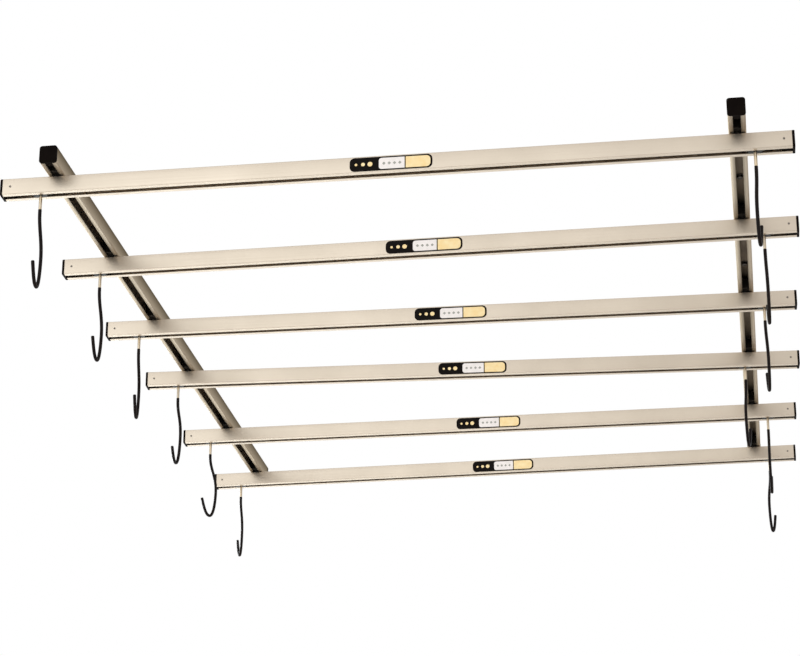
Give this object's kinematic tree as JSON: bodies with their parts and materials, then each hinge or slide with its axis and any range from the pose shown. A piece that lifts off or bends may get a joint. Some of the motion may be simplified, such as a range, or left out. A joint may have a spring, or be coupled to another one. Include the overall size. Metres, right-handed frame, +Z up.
{
  "type": "ceiling bike rack",
  "caption": "Ceiling rack for bicycles: two slotted rails carry sliding slotted crossbars, each with a pair of sliding, swivelling coated J hooks.",
  "frame": {"origin": "on the ceiling plane, midway between the rails and halfway along them", "axes": "+X along the crossbars to the right, +Y along the rails away from the viewer, +Z up into the ceiling"},
  "size_m": [1.4295, 1.8386, 0.2456],
  "materials": {
    "rail_aluminium": "satin anodised, slightly warm",
    "crossbar_aluminium": "satin anodised, slightly warm",
    "cap_plastic": "moulded, black",
    "glide_nylon": "moulded nylon round a zinc-plated steel stud",
    "slider_nylon": "moulded nylon",
    "coated_steel": "steel rod dipped in black vinyl, shank bare and zinc plated with a yellow passivate"
  },
  "bodies": {
    "frame": {"left_rail": "rail_aluminium", "right_rail": "rail_aluminium", "left_rail_near_cap": "cap_plastic", "left_rail_far_cap": "cap_plastic", "right_rail_near_cap": "cap_plastic", "right_rail_far_cap": "cap_plastic"},
    "crossbar_1": {"crossbar_1": "crossbar_aluminium", "crossbar_1_left_cap": "cap_plastic", "crossbar_1_right_cap": "cap_plastic", "glide_block_1_left": "glide_nylon", "glide_block_1_right": "glide_nylon"},
    "hook_slider_1_left": {"hook_slider_1_left": "slider_nylon"},
    "hook_1_left": {"hook_1_left": "coated_steel"},
    "hook_slider_1_right": {"hook_slider_1_right": "slider_nylon"},
    "hook_1_right": {"hook_1_right": "coated_steel"},
    "crossbar_2": {"crossbar_2": "crossbar_aluminium", "crossbar_2_left_cap": "cap_plastic", "crossbar_2_right_cap": "cap_plastic", "glide_block_2_left": "glide_nylon", "glide_block_2_right": "glide_nylon"},
    "hook_slider_2_left": {"hook_slider_2_left": "slider_nylon"},
    "hook_2_left": {"hook_2_left": "coated_steel"},
    "hook_slider_2_right": {"hook_slider_2_right": "slider_nylon"},
    "hook_2_right": {"hook_2_right": "coated_steel"},
    "crossbar_3": {"crossbar_3": "crossbar_aluminium", "crossbar_3_left_cap": "cap_plastic", "crossbar_3_right_cap": "cap_plastic", "glide_block_3_left": "glide_nylon", "glide_block_3_right": "glide_nylon"},
    "hook_slider_3_left": {"hook_slider_3_left": "slider_nylon"},
    "hook_3_left": {"hook_3_left": "coated_steel"},
    "hook_slider_3_right": {"hook_slider_3_right": "slider_nylon"},
    "hook_3_right": {"hook_3_right": "coated_steel"},
    "crossbar_4": {"crossbar_4": "crossbar_aluminium", "crossbar_4_left_cap": "cap_plastic", "crossbar_4_right_cap": "cap_plastic", "glide_block_4_left": "glide_nylon", "glide_block_4_right": "glide_nylon"},
    "hook_slider_4_left": {"hook_slider_4_left": "slider_nylon"},
    "hook_4_left": {"hook_4_left": "coated_steel"},
    "hook_slider_4_right": {"hook_slider_4_right": "slider_nylon"},
    "hook_4_right": {"hook_4_right": "coated_steel"},
    "crossbar_5": {"crossbar_5": "crossbar_aluminium", "crossbar_5_left_cap": "cap_plastic", "crossbar_5_right_cap": "cap_plastic", "glide_block_5_left": "glide_nylon", "glide_block_5_right": "glide_nylon"},
    "hook_slider_5_left": {"hook_slider_5_left": "slider_nylon"},
    "hook_5_left": {"hook_5_left": "coated_steel"},
    "hook_slider_5_right": {"hook_slider_5_right": "slider_nylon"},
    "hook_5_right": {"hook_5_right": "coated_steel"},
    "crossbar_6": {"crossbar_6": "crossbar_aluminium", "crossbar_6_left_cap": "cap_plastic", "crossbar_6_right_cap": "cap_plastic", "glide_block_6_left": "glide_nylon", "glide_block_6_right": "glide_nylon"},
    "hook_slider_6_left": {"hook_slider_6_left": "slider_nylon"},
    "hook_6_left": {"hook_6_left": "coated_steel"},
    "hook_slider_6_right": {"hook_slider_6_right": "slider_nylon"},
    "hook_6_right": {"hook_6_right": "coated_steel"}
  },
  "joints": [
    {"name": "crossbar_1_slide", "type": "slide", "parent": "frame", "child": "crossbar_1", "axis": [0, 1, 0], "range_m": [-0.017, 0.304]},
    {"name": "hook_slider_1_left_slide", "type": "slide", "parent": "crossbar_1", "child": "hook_slider_1_left", "axis": [0.9999, 0.0122, 0], "range_m": [-0.033, 0.608]},
    {"name": "hook_1_left_swivel", "type": "hinge", "parent": "hook_slider_1_left", "child": "hook_1_left", "pos_m": [-0.64071, -0.84992, -0.0656], "axis": [0, 0, 1], "continuous": true},
    {"name": "hook_slider_1_right_slide", "type": "slide", "parent": "crossbar_1", "child": "hook_slider_1_right", "axis": [0.9999, 0.0122, 0], "range_m": [-0.612, 0.03]},
    {"name": "hook_1_right_swivel", "type": "hinge", "parent": "hook_slider_1_right", "child": "hook_1_right", "pos_m": [0.63808, -0.83429, -0.0656], "axis": [0, 0, 1], "continuous": true},
    {"name": "crossbar_2_slide", "type": "slide", "parent": "frame", "child": "crossbar_2", "axis": [0, 1, 0], "range_m": [-0.304, 0.272]},
    {"name": "hook_slider_2_left_slide", "type": "slide", "parent": "crossbar_2", "child": "hook_slider_2_left", "axis": [1, 0.007, 0], "range_m": [-0.034, 0.607]},
    {"name": "hook_2_left_swivel", "type": "hinge", "parent": "hook_slider_2_left", "child": "hook_2_left", "pos_m": [-0.63304, -0.48077, -0.0656], "axis": [0, 0, 1], "continuous": true},
    {"name": "hook_slider_2_right_slide", "type": "slide", "parent": "crossbar_2", "child": "hook_slider_2_right", "axis": [1, 0.007, 0], "range_m": [-0.615, 0.026]},
    {"name": "hook_2_right_swivel", "type": "hinge", "parent": "hook_slider_2_right", "child": "hook_2_right", "pos_m": [0.64864, -0.47182, -0.0656], "axis": [0, 0, 1], "continuous": true},
    {"name": "crossbar_3_slide", "type": "slide", "parent": "frame", "child": "crossbar_3", "axis": [0, 1, 0], "range_m": [-0.272, 0.243]},
    {"name": "hook_slider_3_left_slide", "type": "slide", "parent": "crossbar_3", "child": "hook_slider_3_left", "axis": [0.9995, 0.0314, 0], "range_m": [-0.029, 0.612]},
    {"name": "hook_3_left_swivel", "type": "hinge", "parent": "hook_slider_3_left", "child": "hook_3_left", "pos_m": [-0.6416, -0.15047, -0.0656], "axis": [0, 0, 1], "continuous": true},
    {"name": "hook_slider_3_right_slide", "type": "slide", "parent": "crossbar_3", "child": "hook_slider_3_right", "axis": [0.9995, 0.0314, 0], "range_m": [-0.615, 0.026]},
    {"name": "hook_3_right_swivel", "type": "hinge", "parent": "hook_slider_3_right", "child": "hook_3_right", "pos_m": [0.64442, -0.11005, -0.0656], "axis": [0, 0, 1], "continuous": true},
    {"name": "crossbar_4_slide", "type": "slide", "parent": "frame", "child": "crossbar_4", "axis": [0, 1, 0], "range_m": [-0.243, 0.275]},
    {"name": "hook_slider_4_left_slide", "type": "slide", "parent": "crossbar_4", "child": "hook_slider_4_left", "axis": [0.9982, 0.0593, 0], "range_m": [-0.031, 0.61]},
    {"name": "hook_4_left_swivel", "type": "hinge", "parent": "hook_slider_4_left", "child": "hook_4_left", "pos_m": [-0.63251, 0.15101, -0.0656], "axis": [0, 0, 1], "continuous": true},
    {"name": "hook_slider_4_right_slide", "type": "slide", "parent": "crossbar_4", "child": "hook_slider_4_right", "axis": [0.9982, 0.0593, 0], "range_m": [-0.564, 0.077]},
    {"name": "hook_4_right_swivel", "type": "hinge", "parent": "hook_slider_4_right", "child": "hook_4_right", "pos_m": [0.59906, 0.22418, -0.0656], "axis": [0, 0, 1], "continuous": true},
    {"name": "crossbar_5_slide", "type": "slide", "parent": "frame", "child": "crossbar_5", "axis": [0, 1, 0], "range_m": [-0.275, 0.242]},
    {"name": "hook_slider_5_left_slide", "type": "slide", "parent": "crossbar_5", "child": "hook_slider_5_left", "axis": [0.9998, 0.0175, 0], "range_m": [-0.023, 0.618]},
    {"name": "hook_5_left_swivel", "type": "hinge", "parent": "hook_slider_5_left", "child": "hook_5_left", "pos_m": [-0.64942, 0.53467, -0.0656], "axis": [0, 0, 1], "continuous": true},
    {"name": "hook_slider_5_right_slide", "type": "slide", "parent": "crossbar_5", "child": "hook_slider_5_right", "axis": [0.9998, 0.0175, 0], "range_m": [-0.616, 0.025]},
    {"name": "hook_5_right_swivel", "type": "hinge", "parent": "hook_slider_5_right", "child": "hook_5_right", "pos_m": [0.64338, 0.55723, -0.0656], "axis": [0, 0, 1], "continuous": true},
    {"name": "crossbar_6_slide", "type": "slide", "parent": "frame", "child": "crossbar_6", "axis": [0, 1, 0], "range_m": [-0.242, 0.002]},
    {"name": "hook_slider_6_left_slide", "type": "slide", "parent": "crossbar_6", "child": "hook_slider_6_left", "axis": [1, -0.0052, 0], "range_m": [-0.025, 0.617]},
    {"name": "hook_6_left_swivel", "type": "hinge", "parent": "hook_slider_6_left", "child": "hook_6_left", "pos_m": [-0.64922, 0.86491, -0.0656], "axis": [0, 0, 1], "continuous": true},
    {"name": "hook_slider_6_right_slide", "type": "slide", "parent": "crossbar_6", "child": "hook_slider_6_right", "axis": [1, -0.0052, 0], "range_m": [-0.617, 0.024]},
    {"name": "hook_6_right_swivel", "type": "hinge", "parent": "hook_slider_6_right", "child": "hook_6_right", "pos_m": [0.64376, 0.85814, -0.0656], "axis": [0, 0, 1], "continuous": true}
  ]
}
